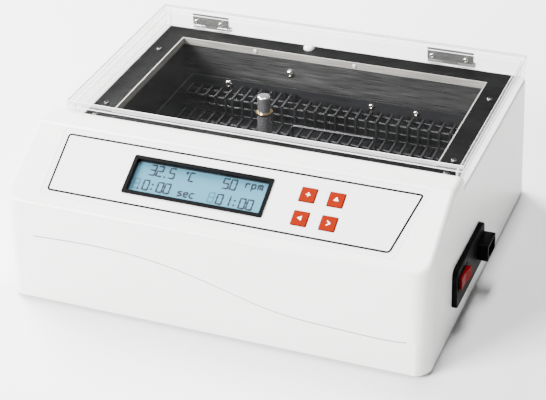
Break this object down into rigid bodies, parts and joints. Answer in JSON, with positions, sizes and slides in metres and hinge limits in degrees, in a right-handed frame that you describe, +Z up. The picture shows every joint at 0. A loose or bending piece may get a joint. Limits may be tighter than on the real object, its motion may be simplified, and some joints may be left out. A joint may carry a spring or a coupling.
{
  "type": "gel card heater",
  "caption": "Bench heater for gel cards: sloped console with display and keys, steel chamber with a shaking card tray, hinged clear lid.",
  "frame": {"origin": "on the table under the middle of the whole heater, power inlet included", "axes": "+X to the right seen from the keys, +Y to the rear, +Z up"},
  "size_m": [0.3522, 0.2806, 0.1305],
  "materials": {
    "white_shell": "satin moulded",
    "cover_paint": "powder coat",
    "foot_rubber": "matte",
    "screw_steel": "bright",
    "chamber_steel": "brushed",
    "rim_steel": "bright brushed",
    "clear_acrylic": "clear polished",
    "white_nylon": "smooth",
    "hinge_steel": "polished",
    "drive_steel": "turned",
    "bush_brass": "turned",
    "heater_silicone": "smooth",
    "insulation_foam": "fibre",
    "motor_case": "satin",
    "tray_black": "satin black",
    "post_chrome": "polished",
    "collar_brass": "polished",
    "label_film": "printed film",
    "bezel_black": "gloss",
    "window_clear": "clear",
    "display_blue": "smooth",
    "board_green": "coated",
    "switch_black": "fine grain",
    "key_orange": "satin",
    "rocker_red": "gloss",
    "pin_metal": "plated"
  },
  "bodies": {
    "base": {"housing": "white_shell", "bottom_cover": "cover_paint", "rubber_feet": "foot_rubber", "bottom_screws": "screw_steel", "chamber": "chamber_steel", "chamber_rim": "rim_steel", "rim_screws": "screw_steel", "flange_screws": "screw_steel", "wall_screws": "screw_steel", "temperature_sensor": "drive_steel", "lid_bumper": "white_nylon", "fixed_leaf_left": "hinge_steel", "fixed_leaf_right": "hinge_steel", "hinge_pin_left": "hinge_steel", "hinge_pin_right": "hinge_steel", "housing_hinge_screws": "screw_steel", "shaft_bush": "bush_brass", "idler_bush_left": "bush_brass", "idler_bush_right": "bush_brass", "heater_mat": "heater_silicone", "insulation": "insulation_foam", "shaker_motor": "motor_case", "motor_bracket": "chamber_steel", "thermal_cutout": "switch_black", "front_label": "label_film", "display_bezel": "bezel_black", "display_window": "window_clear", "display_module": "display_blue", "control_board": "board_green", "key_switches": "switch_black", "power_plate": "bezel_black", "switch_frame": "switch_black", "mains_inlet": "switch_black", "inlet_pins": "pin_metal", "supply_board": "board_green"},
    "lid": {"lid_shell": "clear_acrylic", "moving_leaf_left": "hinge_steel", "moving_leaf_right": "hinge_steel", "lid_hinge_screws": "screw_steel"},
    "crank": {"drive_crank": "drive_steel", "motor_shaft": "drive_steel"},
    "tray": {"card_tray": "tray_black", "rack_left": "tray_black", "rack_tall": "tray_black", "rack_right": "tray_black", "rack_rods": "tray_black", "rack_bail": "screw_steel", "centre_post": "post_chrome", "post_collar": "collar_brass", "tray_screws": "screw_steel"},
    "idler_left": {"idler_crank_left": "drive_steel"},
    "idler_right": {"idler_crank_right": "drive_steel"},
    "plus_key": {"key_plus": "key_orange"},
    "up_key": {"key_up": "key_orange"},
    "left_key": {"key_left": "key_orange"},
    "right_key": {"key_right": "key_orange"},
    "rocker": {"power_rocker": "rocker_red"}
  },
  "joints": [
    {"name": "lid_hinge", "type": "hinge", "parent": "base", "child": "lid", "pos_m": [0.0009, 0.13755, 0.1125], "axis": [-1, 0, 0], "range_deg": [0, 100]},
    {"name": "crank_turn", "type": "hinge", "parent": "base", "child": "crank", "pos_m": [0.0009, 0.0413, 0.0388], "axis": [0, 0, 1], "continuous": true},
    {"name": "tray_turn", "type": "hinge", "parent": "crank", "child": "tray", "pos_m": [0.0034, 0.0413, 0.0481], "axis": [0, 0, 1], "continuous": true},
    {"name": "idler_left_turn", "type": "hinge", "parent": "base", "child": "idler_left", "pos_m": [-0.0941, 0.0413, 0.0388], "axis": [0, 0, 1], "continuous": true},
    {"name": "idler_right_turn", "type": "hinge", "parent": "base", "child": "idler_right", "pos_m": [0.0959, 0.0413, 0.0388], "axis": [0, 0, 1], "continuous": true},
    {"name": "plus_key_press", "type": "slide", "parent": "base", "child": "plus_key", "axis": [0, 0.4773, -0.8788], "range_m": [0, 0.0008], "stiffness_N_per_m": 500},
    {"name": "up_key_press", "type": "slide", "parent": "base", "child": "up_key", "axis": [0, 0.4773, -0.8788], "range_m": [0, 0.0008], "stiffness_N_per_m": 500},
    {"name": "left_key_press", "type": "slide", "parent": "base", "child": "left_key", "axis": [0, 0.4773, -0.8788], "range_m": [0, 0.0008], "stiffness_N_per_m": 500},
    {"name": "right_key_press", "type": "slide", "parent": "base", "child": "right_key", "axis": [0, 0.4773, -0.8788], "range_m": [0, 0.0008], "stiffness_N_per_m": 500},
    {"name": "rocker_tilt", "type": "hinge", "parent": "base", "child": "rocker", "pos_m": [0.1651, -0.065, 0.0438], "axis": [0, 0, 1], "range_deg": [0, 10]}
  ],
  "couplings": [
    {"joint": "tray_turn", "follows": "crank_turn", "ratio": -1},
    {"joint": "idler_left_turn", "follows": "crank_turn", "ratio": 1},
    {"joint": "idler_right_turn", "follows": "crank_turn", "ratio": 1}
  ]
}
